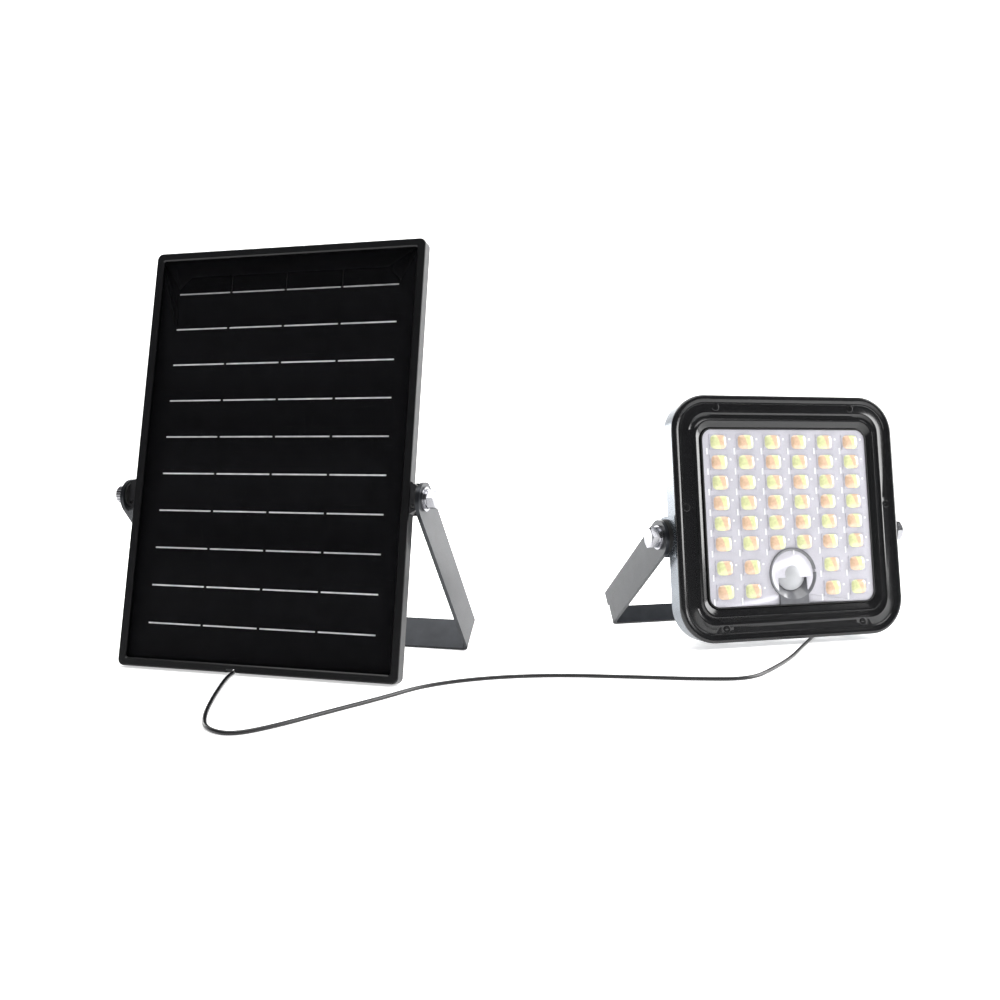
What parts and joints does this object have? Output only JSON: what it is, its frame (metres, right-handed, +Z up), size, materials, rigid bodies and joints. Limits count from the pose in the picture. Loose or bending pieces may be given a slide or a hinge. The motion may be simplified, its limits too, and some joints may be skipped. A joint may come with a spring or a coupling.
{
  "type": "solar flood light",
  "caption": "Solar flood light: a square lamp with lens window and motion sensor, and a framed solar panel, each on a tilting U-bracket, joined by a cable.",
  "frame": {"origin": "on the standing surface, under the middle of the bounding box without the cable", "axes": "+Z up; +X along the solar panel's width, from its left to its right seen from the front; the panel faces -Y and leans back 10.7 degrees; the lamp stands at +X, turned 32.6 degrees towards the right"},
  "size_m": [0.6154, 0.5638, 0.3259],
  "materials": {
    "frame_black": "satin",
    "panel_glass": "clear, smooth",
    "encapsulant": "dark, sealed under the glass",
    "silicon_cell": "dark blue-black, smooth",
    "tinned_ribbon": "tinned",
    "backsheet": "matt",
    "seal_bead": "matt",
    "box_black": "fine texture",
    "zinc_screw": "zinc plated",
    "dark_screw": "black plated",
    "brass": "plain",
    "diode_black": "gloss",
    "gland_black": "satin",
    "bright_steel": "bright",
    "washer_rubber": "matt",
    "bracket_paint": "satin dark grey",
    "shell_paint": "smooth silver-grey",
    "cover_gloss": "gloss black",
    "lens_clear": "clear",
    "mirror_silver": "bright",
    "board_white": "white solder mask",
    "led_cool": "pale yellow",
    "led_warm": "orange-yellow",
    "ring_grey": "smoky grey",
    "dome_frosted": "frosted white",
    "sensor_can": "nickel plated",
    "board_green": "green solder mask",
    "cell_wrap": "shrink sleeve",
    "part_black": "moulded",
    "plug_white": "plain",
    "button_rubber": "matt",
    "cable_black": "satin"
  },
  "bodies": {
    "panel_and_lamp": {"panel_frame": "frame_black", "panel_glass": "panel_glass", "panel_encapsulant": "encapsulant", "solar_cells": "silicon_cell", "cell_ribbons": "tinned_ribbon", "panel_backsheet": "backsheet", "panel_seal": "seal_bead", "junction_box": "box_black", "junction_box_lid": "box_black", "junction_box_screws": "zinc_screw", "junction_terminals": "brass", "blocking_diode": "diode_black", "panel_gland": "gland_black", "panel_gland_nut": "gland_black", "panel_ear_right": "box_black", "panel_ear_left": "box_black", "panel_ear_screws": "zinc_screw", "panel_rubber_washers": "washer_rubber", "panel_flat_washers": "bright_steel", "panel_spring_washer": "bright_steel", "panel_pivot_bolt": "bright_steel", "lamp_shell": "shell_paint", "shell_seal": "seal_bead", "lamp_cover": "cover_gloss", "lamp_cover_screws": "dark_screw", "window_seal": "seal_bead", "lens_plate": "lens_clear", "mirror_plate": "mirror_silver", "led_board": "board_white", "leds_cool_white": "led_cool", "leds_warm_white": "led_warm", "led_board_screws": "zinc_screw", "sensor_ring": "ring_grey", "sensor_dome": "dome_frosted", "motion_sensor": "sensor_can", "sensor_board": "board_green", "battery_cells": "cell_wrap", "battery_holder": "part_black", "control_board": "board_green", "control_parts": "part_black", "wire_connectors": "plug_white", "button_seal": "seal_bead", "lamp_gland": "gland_black", "lamp_gland_nut": "gland_black", "lamp_rubber_discs": "washer_rubber", "lamp_flat_washers": "bright_steel", "lamp_spring_washers": "bright_steel", "lamp_pivot_bolts": "bright_steel", "cable": "cable_black"},
    "panel_bracket": {"panel_bracket": "bracket_paint"},
    "lamp_bracket": {"lamp_bracket": "bracket_paint"},
    "thumb_screw": {"panel_thumb_screw": "bright_steel"},
    "button": {"power_button": "button_rubber"}
  },
  "joints": [
    {"name": "panel_tilt", "type": "hinge", "parent": "panel_and_lamp", "child": "panel_bracket", "pos_m": [-0.174, -0.18181, 0.13164], "axis": [1, 0, 0], "range_deg": [-42, 112]},
    {"name": "lamp_tilt", "type": "hinge", "parent": "panel_and_lamp", "child": "lamp_bracket", "pos_m": [0.19745, 0.05091, 0.09248], "axis": [0.8425, 0.5388, 0], "range_deg": [-46, 108]},
    {"name": "thumb_screw_turn", "type": "hinge", "parent": "panel_and_lamp", "child": "thumb_screw", "pos_m": [-0.304, -0.18181, 0.13164], "axis": [1, 0, 0], "continuous": true},
    {"name": "button_press", "type": "slide", "parent": "panel_and_lamp", "child": "button", "axis": [0.5342, -0.8352, 0.1305], "range_m": [0, 0.0015], "stiffness_N_per_m": 1500, "springref_m": -0.0005}
  ]
}
